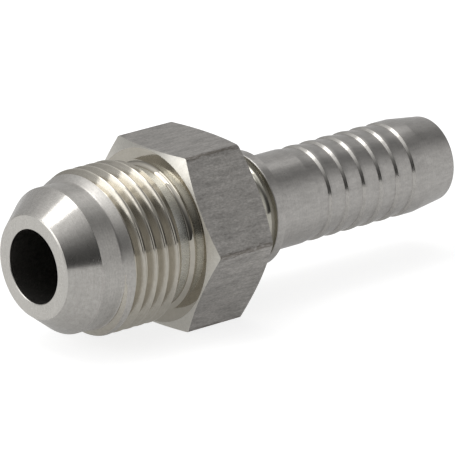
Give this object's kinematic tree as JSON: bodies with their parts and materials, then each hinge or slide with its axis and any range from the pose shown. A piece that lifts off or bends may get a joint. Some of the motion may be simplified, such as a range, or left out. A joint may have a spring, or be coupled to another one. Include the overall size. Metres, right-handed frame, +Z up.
{
  "type": "hydraulic hose fitting",
  "caption": "Stainless steel hose fitting turned from hexagon bar, with a threaded cone-seat nose, a hexagon, a crimping collar and a stepped hose tail.",
  "frame": {"origin": "middle of the nose face, on the fitting's axis", "axes": "+X along the axis from the nose to the tip of the hose tail, +Z up with one flat of the hexagon facing down, +Y across the hexagon's corners"},
  "size_m": [0.0686, 0.0276, 0.024],
  "materials": {
    "stainless_steel": "turned, with the hexagon's flats as drawn"
  },
  "bodies": {
    "root": {"fitting": "stainless_steel"}
  },
  "joints": []
}
